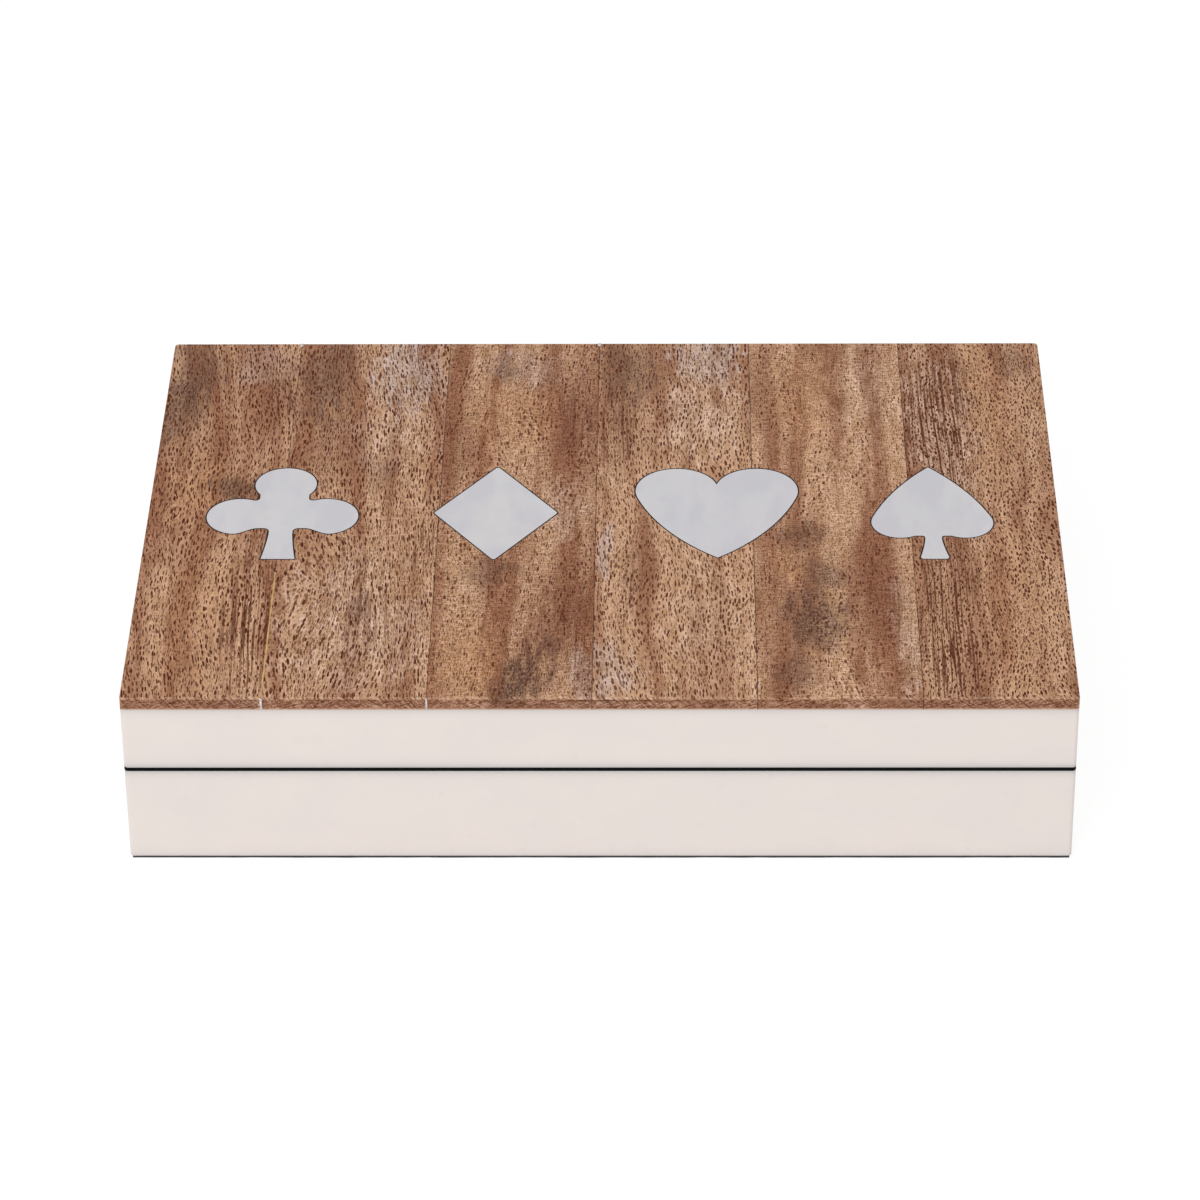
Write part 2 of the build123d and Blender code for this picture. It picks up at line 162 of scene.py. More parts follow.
class DarkSettings(PropertyGroup):
    """Tones of the black pieces and the felts"""

    edging: colour_property("Rim edging", "Black edging that makes the seam", 8, 8, 9)
    brushed: colour_property("Brushed edging", "Brush marks in the edging", 40, 38, 38)
    worn: colour_property("Worn black", "Rubbed edging and thin paint", 62, 58, 56)
    paint: colour_property("Paint", "Painted boards inside", 34, 32, 32)
    lining: colour_property("Lining felt", "Felt in the wells and the lid", 48, 46, 50)
    underside: colour_property("Underside felt", "Felt under the base", 30, 29, 31)
    lint: colour_property("Lint", "Pale lint on the felts", 120, 118, 122)
    felt_wave: length_property("Felt wave", "How far the felts' edges wander", 0.18 * MM)


class BrassSettings(PropertyGroup):
    """Tones of the hinges and screws"""

    brass: colour_property("Brass", "Bright brass", 216, 190, 138)
    tarnish: colour_property("Tarnish", "Dull brass in the hollows", 168, 138, 90)


class StageSettings(PropertyGroup):
    """Floor, light and camera"""

    floor: colour_property("Floor", "Pale floor", 249, 249, 249)
    world_light: number_property("Sky light", "Level of the even light all round", 0.66, "FACTOR", max=1.0)
    key_watts: power_property("Key lamp", "Power of the large lamp in front", 11.8)
    fill_watts: power_property("Fill lamp", "Power of the lamp on the right", 0.4)
    lens: number_property("Lens", "Focal length", 149.9, "DISTANCE_CAMERA", unit="CAMERA")
    camera_distance: length_property("Camera distance", "From the camera to what it looks at", 1.001)


class CardBoxSettings(PropertyGroup):
    """All settings of the card box"""

    wood: PointerProperty(type=SlatWoodSettings)
    resin: PointerProperty(type=ResinSettings)
    joints: PointerProperty(type=JointSettings)
    dark: PointerProperty(type=DarkSettings)
    metal: PointerProperty(type=BrassSettings)
    stage: PointerProperty(type=StageSettings)


# Building blocks for node trees


class Value:
    """An output of a node, for sums with numbers, vectors and other outputs of the same tree."""

    def __init__(self, socket):
        self.socket = socket

    def __add__(self, other):
        return calculate("ADD", self, other)

    def __sub__(self, other):
        return calculate("SUBTRACT", self, other)

    def __rsub__(self, other):
        return calculate("SUBTRACT", other, self)

    def __mul__(self, other):
        return calculate("MULTIPLY", self, other)

    def __truediv__(self, other):
        return calculate("DIVIDE", self, other)

    def __pow__(self, other):
        return calculate("POWER", self, other)

    def __rpow__(self, other):
        return calculate("POWER", other, self)

    def __abs__(self):
        return calculate("ABSOLUTE", self)

    def feed(self, target):
        """Links the output to an input."""
        self.socket.id_data.links.new(self.socket, target)


def add(tree, kind, inputs=None, **settings):
    """A new node, with its settings, and with its inputs linked to values or set to constants."""
    made = tree.nodes.new(kind)
    for name, setting in settings.items():
        setattr(made, name, setting)
    for key, given in (inputs or {}).items():
        if isinstance(given, Value):
            given.feed(made.inputs[key])
        else:
            made.inputs[key].default_value = given
    return made


def new_values(kind, inputs, **settings):
    """The outputs of a new node in the tree of the values that it is given."""
    tree = next(given.socket.id_data for given in inputs.values() if isinstance(given, Value))
    return [Value(socket) for socket in add(tree, kind, inputs, **settings).outputs]


def by_name(values):
    """Values by the names of their sockets."""
    return {value.socket.name: value for value in values}


def is_vector(value):
    """Whether a value is a vector or a colour, and not a number."""
    return isinstance(value, tuple) or (isinstance(value, Value) and value.socket.type != "VALUE")


def calculate(operation, *values):
    """Result of a sum on numbers or on vectors."""
    kind = "ShaderNodeVectorMath" if any(is_vector(value) for value in values) else "ShaderNodeMath"
    return new_values(kind, dict(enumerate(values)), operation=operation)[0]


def vector_length(vector):
    """Length of a vector."""
    return by_name(new_values("ShaderNodeVectorMath", {0: vector}, operation="LENGTH"))["Value"]


def split(vector):
    """The three parts of a vector."""
    return new_values("ShaderNodeSeparateXYZ", {0: vector})


def join(x, y, z):
    """A vector of three parts."""
    return new_values("ShaderNodeCombineXYZ", {0: x, 1: y, 2: z})[0]


def remap(value, low, high, new_low=0.0, new_high=1.0, smooth=True):
    """A value moved from one range to another, and kept within it."""
    inputs = {"Value": value, "From Min": low, "From Max": high, "To Min": new_low, "To Max": new_high}
    kind = "SMOOTHSTEP" if smooth else "LINEAR"
    return new_values("ShaderNodeMapRange", inputs, interpolation_type=kind)[0]


def opaque(colour):
    """A constant colour with its alpha, or a value as it is."""
    return colour if isinstance(colour, Value) else (*colour, 1.0)


def blend(share, first, second, kind="MIX"):
    """Colour between two colours."""
    inputs = {0: share, 6: opaque(first), 7: opaque(second)}
    return new_values("ShaderNodeMix", inputs, data_type="RGBA", blend_type=kind)[2]


def clouds(place, size, detail=2.0, roughness=0.5):
    """Noise whose clouds have a size on each axis."""
    inputs = {"Vector": place / size, "Scale": 1.0, "Detail": detail, "Roughness": roughness}
    return new_values("ShaderNodeTexNoise", inputs)[0]


def drift(place, scale, detail):
    """Noise that points in all directions, from zero to one on each axis."""
    return new_values("ShaderNodeTexNoise", {"Vector": place, "Scale": scale, "Detail": detail})[1]


def from_points(place, scale):
    """Distance to the nearest of many scattered points, in shares of their spacing."""
    inputs = {"Vector": place, "Scale": scale}
    return by_name(new_values("ShaderNodeTexVoronoi", inputs, voronoi_dimensions="3D"))["Distance"]


def new_group(name, inputs, outputs):
    """An empty node group, the values that it is given and the sockets that it puts out."""
    group = bpy.data.node_groups.new(name, "ShaderNodeTree")
    for socket_name, default in inputs.items():
        kind = "NodeSocketFloat" if isinstance(default, float) else "NodeSocketVector"
        group.interface.new_socket(socket_name, in_out="INPUT", socket_type=kind).default_value = default
    for socket_name in outputs:
        group.interface.new_socket(socket_name, in_out="OUTPUT", socket_type="NodeSocketFloat")
    given = by_name(Value(socket) for socket in group.nodes.new("NodeGroupInput").outputs)
    result = group.nodes.new("NodeGroupOutput").inputs
    return group, given, result


def put_out(group, result, made):
    """Links what a group has made to its outputs, and gives the group back."""
    for output, value in made.items():
        value.feed(result[output])
    return group


def use_group(builder, **inputs):
    """The outputs of a shared group by their names. The group is built the first time it is used."""
    name = builder.__doc__
    group = bpy.data.node_groups.get(name) or builder(name)
    named = {key.replace("_", " "): value for key, value in inputs.items()}
    return by_name(new_values("ShaderNodeGroup", named, node_tree=group))


def empty_tree(owner):
    """The node tree of a material or a world, cleared."""
    owner.use_nodes = True
    owner.node_tree.nodes.clear()
    return owner.node_tree


def new_material(name):
    """An empty material, its shader and the place on the piece in millimetres."""
    material = bpy.data.materials.new(name)
    tree = empty_tree(material)
    shader = add(tree, "ShaderNodeBsdfPrincipled")
    add(tree, "ShaderNodeOutputMaterial", {"Surface": Value(shader.outputs[0])})
    here = Value(add(tree, "ShaderNodeTexCoord").outputs["Object"])
    return material, shader, here / (MM, MM, MM)


def finish_surface(shader, colour, roughness, height, depth, strength=0.5, specular=0.5):
    """Links a colour, a roughness and a relief of some depth, in millimetres, to the shader."""
    relief = {"Height": height, "Distance": depth * MM, "Strength": strength}
    colour.feed(shader.inputs["Base Color"])
    roughness.feed(shader.inputs["Roughness"])
    new_values("ShaderNodeBump", relief)[0].feed(shader.inputs["Normal"])
    shader.inputs["Specular IOR Level"].default_value = specular


def mottled_material(name, tones, cloud, tone_range, rough_range, depth, specular=0.5):
    """Plain stuff of two tones, mottled by one cloud: its size, its detail and its roughness."""
    material, shader, place = new_material(name)
    mottle = clouds(place, *cloud)
    colour = blend(remap(mottle, *tone_range), *tones)
    roughness = remap(mottle, 0.3, 0.7, *rough_range)
    finish_surface(shader, colour, roughness, mottle, depth, specular=specular)
    return material


def dress(material, *names):
    """Gives CAD nodes a material."""
    for name in names:
        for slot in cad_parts[name].material_slots:
            slot.material = material


# Patterns that more than one material uses

NOWHERE = (0.0, 0.0, 0.0)

# Spacing of the long and the fine pores across and along the grain, in millimetres, and the size of the fine
# ones in shares of the long
LONG_SPACING = (0.76, 2.2)
FINE_SPACING = (0.44, 1.3)
FINE_SIZE = 0.62


def pore_layer(grain, spacing, half_size, share):
    """Masks of short pores scattered along the grain, and of the pale wood round them."""
    cell = grain / (*spacing, 1.0)
    inputs = {"Vector": cell, "Scale": 1.0}
    points = by_name(new_values("ShaderNodeTexVoronoi", inputs, voronoi_dimensions="2D"))
    chance = split(points["Color"])
    size = remap(chance[0], 0.0, 1.0, 0.65, 1.35, smooth=False)
    ratio = (spacing[0] / half_size[0], spacing[1] / half_size[1], 0.0)
    reach = vector_length((cell - points["Position"]) * ratio) / size
    present = calculate("LESS_THAN", chance[1], share)
    darkness = remap(chance[2], 0.0, 0.8, 0.65, 1.0, smooth=False)
    pore = remap(reach, 1.08, 0.82, 0.0, darkness) * present
    halo = remap(reach, 2.4, 1.2) * present
    return pore, halo - pore


def slat_grain(name):
    """Slat grain"""
    inputs = {"Place": NOWHERE, "Lean": 0.0, "Pore share": 0.6, "Fine share": 0.6, "Pore stretch": 1.0}
    outputs = ("Fibres", "Bands", "Rays", "Grit", "Stripes", "Breaks", "Pores", "Halos")
    group, given, result = new_group(name, inputs, outputs)
    wood = bpy.context.scene.card_box.wood
    place = given["Place"]
    x, y, z = split(place)
    sway = clouds(place, (24.0, 52.0, 24.0), 1.0) - 0.5
    ripple = clouds(place, (5.0, 13.0, 5.0), 1.0) - 0.5
    leaning = given["Lean"] * y + x + z
    across = leaning + sway * 9.0 + ripple * 1.5
    grain = join(across, y, z)
    straight = join(leaning + sway * 3.0, y, z)
    stretched = join(across, y / given["Pore stretch"], z)
    patchy = remap(clouds(grain, (4.0, 22.0, 4.0), 2.0), 0.32, 0.68, -0.35, 0.35)
    long_half = (wood.pore_width / MM / 2, wood.pore_length / MM / 2)
    fine_half = (long_half[0] * FINE_SIZE, long_half[1] * FINE_SIZE)
    pores, halos = pore_layer(stretched, LONG_SPACING, long_half, given["Pore share"] + patchy)
    fine_pores, fine_halos = pore_layer(stretched, FINE_SPACING, fine_half, given["Fine share"] - patchy)
    made = {
        "Fibres": clouds(grain, (0.55, 8.0, 0.55), 3.0, 0.65),
        "Bands": clouds(grain, (5.5, 80.0, 5.5), 3.0, 0.5),
        "Rays": clouds(place, (1.7, 0.4, 1.7), 2.0, 0.6),
        "Grit": clouds(grain, (0.42, 0.9, 0.42), 2.0, 0.7),
        "Stripes": remap(clouds(straight, (0.42, 26.0, 0.42), 2.0, 0.6), 0.51, 0.555),
        "Breaks": clouds(grain, (1.8, 7.0, 1.8), 5.0, 0.62),
        "Pores": calculate("MAXIMUM", pores, fine_pores * 0.75),
        "Halos": calculate("MAXIMUM", halos, fine_halos * 0.6),
    }
    return put_out(group, result, made)


def stain(name):
    """Stain"""
    inputs = {"Place": NOWHERE, "Centre": NOWHERE, "Size": (1.0, 1.0, 1.0), "Lean": 0.0, "Breaks": 0.5}
    group, given, result = new_group(name, inputs, ("Mask",))
    turn = {"Vector": given["Place"], "Center": given["Centre"], "Angle": given["Lean"]}
    turned = new_values("ShaderNodeVectorRotate", turn, rotation_type="Z_AXIS")[0]
    x, y = split((turned - given["Centre"]) / given["Size"])[:2]
    near = remap(vector_length(join(x, y, 0.0)), 1.7, 0.0, smooth=False)
    broken = near + (given["Breaks"] - 0.5) * 2.0
    return put_out(group, result, {"Mask": remap(broken, 0.1, 0.8) * remap(near, 0.0, 0.45)})


def cast_clouds(name):
    """Cast resin clouds"""
    outputs = ("Clouds", "Flecks", "Waves", "Scratches")
    group, given, result = new_group(name, {"Place": NOWHERE}, outputs)
    place = given["Place"]
    flecks = from_points(place, 0.22) + clouds(place, (3.0, 3.0, 3.0), 1.0)
    made = {
        "Clouds": clouds(place, (16.0, 16.0, 9.0), 3.0),
        "Flecks": remap(flecks, 0.62, 0.5),
        "Waves": clouds(place, (22.0, 22.0, 14.0), 1.0),
        "Scratches": clouds(place, (14.0, 0.25, 0.25), 2.0),
    }
    return put_out(group, result, made)


def felt_nap(name):
    """Felt nap"""
    group, given, result = new_group(name, {"Place": NOWHERE}, ("Fibres", "Lint", "Press"))
    place = given["Place"]
    bent = place + drift(place, 0.9, 1.0) * (1.2, 1.2, 1.2)
    one_way = clouds(bent, (0.2, 1.6, 0.3), 2.0)
    other_way = clouds(bent, (1.6, 0.2, 0.3), 2.0)
    made = {
        "Fibres": calculate("MAXIMUM", one_way, other_way),
        "Lint": remap(from_points(bent, 0.35), 0.1, 0.04),
        "Press": clouds(place, (9.0, 9.0, 9.0), 2.0),
    }
    return put_out(group, result, made)


def metal_wear(name):
    """Metal wear"""
    group, given, result = new_group(name, {"Place": NOWHERE}, ("Lines", "Dull", "Pits"))
    place = given["Place"]
    made = {
        "Lines": clouds(place, (9.0, 0.07, 0.07), 2.0),
        "Dull": clouds(place, (2.6, 2.6, 2.6), 3.0, 0.6),
        "Pits": remap(from_points(place, 1.4), 0.12, 0.05),
    }
    return put_out(group, result, made)


# The slats: how each piece of wood differs, with places in millimetres from the middle of the lid

Stain = namedtuple("Stain", "tone x y half_width half_length strength lean", defaults=(0.0,))
Crack = namedtuple("Crack", "x y length")
SLAT_TRAITS = "lean pore_share fine_share pore_stretch pore_tone rays depth scored stains cracks"
Slat = namedtuple("Slat", SLAT_TRAITS, defaults=((),))

SLATS = {
    "top_slat_1": Slat(
        lean=0.03, pore_share=0.9, fine_share=0.45, pore_stretch=0.85,
        pore_tone=1.0, rays=0.2, depth=0.45, scored=0.15,
        stains=(
            Stain("amber", -81, 9, 6, 13, 0.7),
            Stain("amber", -78, -40, 8, 24, 0.5, lean=0.05),
            Stain("ash", -71, 56, 6, 7, 0.35),
            Stain("smoke", -84.5, 52, 5.5, 15, 0.62, lean=0.15),
            Stain("smoke", -87, 37, 5, 13, 0.6, lean=0.1),
            Stain("smoke", -73.5, 7.5, 5.5, 5, 0.8, lean=0.4),
            Stain("umber", -66, 44, 4, 14, 0.7),
            Stain("stripes", -66.5, 44, 3, 11, 0.7),
            Stain("stripes", -67.5, -42, 6, 32, 0.8),
            Stain("stripes", -83, 25, 4, 16, 0.3),
        ),
    ),
    "top_slat_2": Slat(
        lean=0.02, pore_share=0.8, fine_share=0.7, pore_stretch=0.95,
        pore_tone=1.0, rays=0.35, depth=0.35, scored=0.2,
        stains=(
            Stain("straw", -47, -40, 13, 22, 0.45),
            Stain("straw", -43, 28, 8, 10, 0.5),
            Stain("amber", -38, -27, 4, 6, 0.5),
            Stain("umber", -54, 27, 6, 14, 0.55),
            Stain("ash", -41, 53, 7, 13, 0.8),
            Stain("smoke", -57, 50, 5.5, 17, 0.65, lean=0.05),
            Stain("smoke", -45, 14, 3, 6, 0.35),
            Stain("smoke", -46.5, -33, 2.5, 5, 0.45),
            Stain("stripes", -45, -35, 8, 18, 0.45),
            Stain("stripes", -35, -12, 2.5, 9, 0.6),
        ),
    ),
    "top_slat_3": Slat(
        lean=-0.02, pore_share=0.4, fine_share=0.8, pore_stretch=0.75,
        pore_tone=0.92, rays=0.85, depth=0.64, scored=0.8,
        stains=(
            Stain("amber", -19, 37, 9, 14, 0.65),
            Stain("amber", -25, -52, 7, 15, 0.7),
            Stain("straw", -8, 0, 5, 10, 0.45),
            Stain("ash", -17, 55, 8, 7, 0.4),
            Stain("smoke", -21, 53, 4, 4.5, 0.45),
            Stain("umber", -4.5, 34, 4.5, 22, 0.75),
            Stain("umber", -30, 22, 4, 20, 0.5),
            Stain("smoke", -21.5, -22, 5, 4.5, 0.5),
            Stain("umber", -8, -39, 6, 20, 0.9, lean=0.2),
            Stain("smoke", -16, -62, 4.5, 15, 0.9, lean=0.37),
            Stain("stripes", -4, -48, 2.5, 14, 0.6),
            Stain("stripes", -4.5, 35, 2.5, 12, 0.5),
            Stain("ash", -3, -57, 2.5, 9, 0.4),
        ),
        cracks=(Crack(-4.6, -9.5, 9.0), Crack(-7.0, -38.0, 10.0)),
    ),
    "top_slat_4": Slat(
        lean=0.015, pore_share=0.85, fine_share=0.5, pore_stretch=0.8,
        pore_tone=0.95, rays=0.25, depth=0.24, scored=0.7,
        stains=(
            Stain("straw", 20, 36, 8.5, 15, 0.6),
            Stain("straw", 20, -38, 8, 16, 0.2),
            Stain("umber", 4, 32, 3.5, 15, 0.45),
            Stain("umber", 7.5, -20, 3, 14, 0.45),
            Stain("smoke", 4.5, 54, 6, 13, 0.66),
            Stain("ash", 21, 58, 7.5, 8, 0.8),
            Stain("ash", 0.8, -14, 1.4, 9, 0.7),
            Stain("ash", 2.5, -56, 4.5, 10, 0.6),
            Stain("stripes", 3, 28, 4, 16, 0.6),
            Stain("stripes", 7, -25, 3.5, 14, 0.4),
        ),
    ),
    "top_slat_5": Slat(
        lean=-0.01, pore_share=0.3, fine_share=0.75, pore_stretch=0.65,
        pore_tone=0.9, rays=0.8, depth=0.45, scored=0.2,
        stains=(
            Stain("amber", 41, 42, 7, 16, 0.6),
            Stain("straw", 53, 48, 6, 18, 0.3),
            Stain("amber", 37.5, -18, 4, 4, 0.6),
            Stain("straw", 58.5, -45, 2.5, 19, 0.6),
            Stain("umber", 32.5, 46, 3, 18, 0.65),
            Stain("umber", 53, -28, 6, 20, 0.6),
            Stain("smoke", 40, -9, 5.5, 5, 0.6),
            Stain("smoke", 43, -22, 4, 6.5, 0.65),
            Stain("smoke", 40.5, -39, 6, 11, 0.8),
            Stain("smoke", 37, -56, 4.5, 5.5, 0.55),
            Stain("stripes", 56.5, -40, 2.5, 18, 0.35),
        ),
    ),
    "top_slat_6": Slat(
        lean=0.025, pore_share=0.95, fine_share=0.5, pore_stretch=0.6,
        pore_tone=1.0, rays=0.1, depth=0.42, scored=0.1,
        stains=(
            Stain("amber", 78, 38, 5.5, 28, 0.6, lean=-0.03),
            Stain("amber", 79, -35, 7, 28, 0.45),
            Stain("straw", 67.5, 30, 7, 30, 0.55),
            Stain("smoke", 85, 57, 4, 7, 0.5),
            Stain("stripes", 67.5, 28, 7.5, 34, 0.95, lean=0.03),
            Stain("stripes", 67, -42, 7, 34, 0.95),
            Stain("umber", 68, -45, 5, 24, 0.3),
        ),
    ),
}


# How far apart along the grain the slats' pieces of the pattern lie, in millimetres
GRAIN_SHIFT = 211.0

# Lean of the saw's strokes across the cut ends
SAW_LEAN = math.radians(20.0)

# Level of the mirror light on satin wood and on lacquer, and on dried glue
SATIN = 0.08
DRIED = 0.1


def wood_shade(shade):
    """Shade of wood as a colour: redder where it is dark, and paler where it is light."""
    return join(shade ** 0.78, shade, shade ** 1.35)


def with_stains(colour, slat, grain, wood, place, own_place):
    """A slat's colour with its stains, one over another, whose outlines wander."""
    wandering = place + (drift(own_place, 0.09, 2.0) - (0.5, 0.5, 0.5)) * (6.0, 14.0, 0.0)
    streaks = remap(grain["Fibres"], 0.38, 0.6, 0.55, 1.0)
    specks = remap(grain["Grit"], 0.38, 0.62, 0.4, 1.2, smooth=False)
    textures = {"stripes": grain["Stripes"], "smoke": specks}
    for mark in slat.stains:
        striped = mark.tone == "stripes"
        mask = use_group(
            stain,
            Place=wandering,
            Centre=(mark.x, mark.y, 0.0),
            Size=(mark.half_width, mark.half_length, 1.0),
            Lean=mark.lean,
            Breaks=0.5 if striped else grain["Breaks"],
        )["Mask"]
        tone = wood.pore if striped else getattr(wood, mark.tone)
        colour = blend(mask * mark.strength * textures.get(mark.tone, streaks), colour, tone)
    return colour


def with_cracks(pores, slat, x, y):
    """A slat's pores with its cracks, which wind along the grain and close at both ends."""
    for crack in slat.cracks:
        bend = clouds(join(0.0, y, crack.x), (1.0, 2.2, 1.0), 3.0) - 0.5
        aside = abs(x - (bend * 4.0 + crack.x))
        opening = remap(abs(y - crack.y), crack.length / 2, 0.0, 0.0, 0.24, smooth=False)
        pores = calculate("MAXIMUM", pores, remap(aside - opening, 0.0, -0.1))
    return pores


def with_cut_ends(colour, slat, wood, low, own_place, y, z):
    """A slat's colour with its sawn ends: strokes, torn fibres, a scored line and a worn upper edge."""
    end = CAD_HIGH.y / MM
    top = CAD_HIGH.z / MM
    stipple = clouds(own_place, (0.5, 0.5, 0.35), 3.0, 0.7)
    turn = {"Vector": own_place, "Angle": SAW_LEAN}
    sawn = new_values("ShaderNodeVectorRotate", turn, rotation_type="Y_AXIS")[0]
    strokes = clouds(sawn, (2.2, 1.0, 0.32), 3.0, 0.6)
    shade = remap(stipple + strokes, 0.84, 1.16, 0.25, 1.75, smooth=False)
    end_colour = blend(0.35, wood.end, colour)
    end_colour = blend(1.0, end_colour, wood_shade(shade), "MULTIPLY")
    uneven = (stipple - 0.5) * 0.9 + z
    torn = remap(uneven, low + 0.4, low + 0.1, 0.0, 0.7)
    end_colour = blend(torn, end_colour, wood.straw)
    scored = remap(abs(uneven - (top - 0.6)), 0.16, 0.06)
    patches = remap(clouds(own_place, (7.0, 1.0, 4.0), 2.0), 0.42, 0.55, 0.0, slat.scored)
    end_colour = blend(scored * patches, end_colour, wood.pore)
    cut = remap(abs(y), end - 0.25, end - 0.05) * remap(z, top - 0.22, top - 0.4)
    colour = blend(cut, colour, end_colour)
    # Pale line along the upper edge of the cut ends: worn wood, and a painted highlight where the arris
    # catches the light
    rim = remap(z, top - 0.45, top - 0.2) * remap(abs(y), end - 0.5, end - 0.3)
    return blend(rim * remap(stipple, 0.45, 0.65, 0.0, 0.5), colour, wood.straw)


def slat_material(slat_name, slat, shift, wood):
    """Satin wood of one slat: grain, stains, stripes, pores and cut ends."""
    material, shader, place = new_material(f"{slat_name}_wood")
    own_place = place + (0.0, shift, 0.0)
    grain = use_group(
        slat_grain,
        Place=own_place,
        Lean=slat.lean,
        Pore_share=slat.pore_share,
        Fine_share=slat.fine_share,
        Pore_stretch=slat.pore_stretch,
    )
    x, y, z = split(place)

    deep_share = remap(grain["Bands"], 0.36, 0.64, slat.depth + 0.55, slat.depth - 0.55)
    colour = blend(deep_share, wood.heart, wood.deep)
    colour = with_stains(colour, slat, grain, wood, place, own_place)
    ray_depth = 0.45 * slat.rays
    ray_shade = remap(grain["Rays"], 0.35, 0.65, 1.0 - ray_depth, 1.0 + ray_depth, smooth=False)
    fine_shade = remap(grain["Fibres"] + grain["Grit"], 0.7, 1.3, 0.66, 1.28, smooth=False)
    mottle = remap(grain["Breaks"], 0.35, 0.65, 0.8, 1.16, smooth=False)
    shade = ray_shade * fine_shade * mottle * (grain["Halos"] * 0.14 + 1.0)
    colour = blend(1.0, colour, wood_shade(shade), "MULTIPLY")
    pores = with_cracks(grain["Pores"] * slat.pore_tone, slat, x, y)
    colour = blend(pores, colour, wood.pore)
    colour = with_cut_ends(colour, slat, wood, node_box(slat_name)[0].z, own_place, y, z)

    roughness = remap(grain["Fibres"] + pores, 0.3, 1.6, 0.45, 0.75, smooth=False)
    height = grain["Fibres"] * 0.5 - pores
    finish_surface(shader, colour, roughness, height, depth=0.08, strength=0.45, specular=SATIN)
    return material


# Painted shade that greys the resin towards the cladding's edges: what is left of it one millimetre away,
# and its strength at the wood and the table, and at the seam
EDGE_FADE = 0.24
OUTER_EDGE_SHADE = 0.3
SEAM_EDGE_SHADE = 0.35


def painted_edge_shade(height):
    """Share of grey in the resin, which lets the dark seam, wood and felt shine through near its edges."""
    base_low, base_high = node_box("base_front_cladding")
    lid_low, lid_high = node_box("lid_front_cladding")
    edges = {base_low.z: OUTER_EDGE_SHADE, base_high.z: SEAM_EDGE_SHADE, lid_low.z: SEAM_EDGE_SHADE, lid_high.z: OUTER_EDGE_SHADE}
    share = 0.0
    for level, strength in edges.items():
        share = EDGE_FADE ** abs(height - level) * strength + share
    return share


def cladding_material(resin):
    """Cream cast resin, sanded to a satin gloss, with faint clouds, a few grey flecks and greyed edges."""
    material, shader, place = new_material("cream_cast_resin")
    cast = use_group(cast_clouds, Place=place)
    colour = blend(remap(cast["Clouds"], 0.35, 0.65), resin.cream, resin.cream_shade)
    colour = blend(cast["Flecks"] * 0.03, colour, resin.cream_fleck)
    # Painted shade: grey towards the seam, the wood and the felt at the cladding's edges
    colour = blend(painted_edge_shade(split(place)[2]), colour, resin.cream_edge)
    roughness = remap(cast["Clouds"] + cast["Scratches"], 0.6, 1.4, 0.3, 0.42)
    height = cast["Scratches"] * 0.06 + cast["Waves"]
    finish_surface(shader, colour, roughness, height, depth=0.05, strength=0.3)
    shader.inputs["Subsurface Weight"].default_value = 0.08
    shader.inputs["Subsurface Radius"].default_value = (1.0, 0.8, 0.7)
    shader.inputs["Subsurface Scale"].default_value = 1.2 * MM
    return material


def inlay_material(resin):
    """Pale polished resin of the suits, clouded and a little blue."""
    material, shader, place = new_material("pearl_cast_resin")
    cast = use_group(cast_clouds, Place=place)
    streaks = clouds(place, (5.0, 14.0, 5.0), 2.0)
    colour = blend(remap(streaks, 0.35, 0.65), resin.pearl, resin.pearl_shade)
    colour = blend(remap(cast["Clouds"], 0.52, 0.7, 0.0, 0.5), colour, resin.pearl_warm)
    colour = blend(cast["Flecks"] * 0.06, colour, resin.pearl_fleck)
    roughness = remap(cast["Clouds"] + streaks, 0.6, 1.4, 0.28, 0.4)
    finish_surface(shader, colour, roughness, cast["Waves"], depth=0.04, strength=0.3)
    return material


def edging_material(dark):
    """Black lacquered edging of the rims, blackest at the outside, with brush marks and rubbed places."""
    material, shader, place = new_material("black_rim_edging")
    x, y = split(place)[:2]
    from_side = CAD_HIGH.x / MM - abs(x)
    from_end = CAD_HIGH.y / MM - abs(y)
    inside = remap(calculate("MINIMUM", from_side, from_end), 0.2, 1.2)
    along_side = clouds(place, (0.35, 26.0, 1.0), 3.0, 0.6)
    along_end = clouds(place, (26.0, 0.35, 1.0), 3.0, 0.6)
    on_end = calculate("LESS_THAN", from_end, from_side)
    brush = new_values("ShaderNodeMix", {0: on_end, 2: along_side, 3: along_end})[0]
    rubbed = clouds(place, (5.0, 5.0, 1.0), 4.0, 0.6)
    colour = blend(remap(brush, 0.42, 0.62, 0.15, 0.7) * inside, dark.edging, dark.brushed)
    colour = blend(remap(rubbed, 0.54, 0.78, 0.0, 0.35) * inside, colour, dark.worn)
    roughness = remap(brush + rubbed, 0.7, 1.3, 0.3, 0.6)
    finish_surface(shader, colour, roughness, brush, depth=0.05, specular=SATIN)
    return material


def painted_board_material(dark):
    """Matt black paint on board, with the brush's strokes and the board's grain under it."""
    material, shader, place = new_material("black_painted_board")
    strokes = clouds(place, (18.0, 18.0, 0.5), 3.0, 0.6)
    grain = clouds(place, (11.0, 11.0, 0.22), 3.0, 0.6)
    thin = remap(clouds(place, (4.0, 4.0, 2.0), 3.0), 0.42, 0.7, 0.0, 0.3)
    streaked = calculate("MAXIMUM", thin, remap(grain, 0.5, 0.7, 0.0, 0.7))
    colour = blend(streaked, dark.paint, dark.worn)
    roughness = remap(strokes, 0.3, 0.7, 0.48, 0.7)
    finish_surface(shader, colour, roughness, grain * 0.7 + strokes, depth=0.08)
    return material


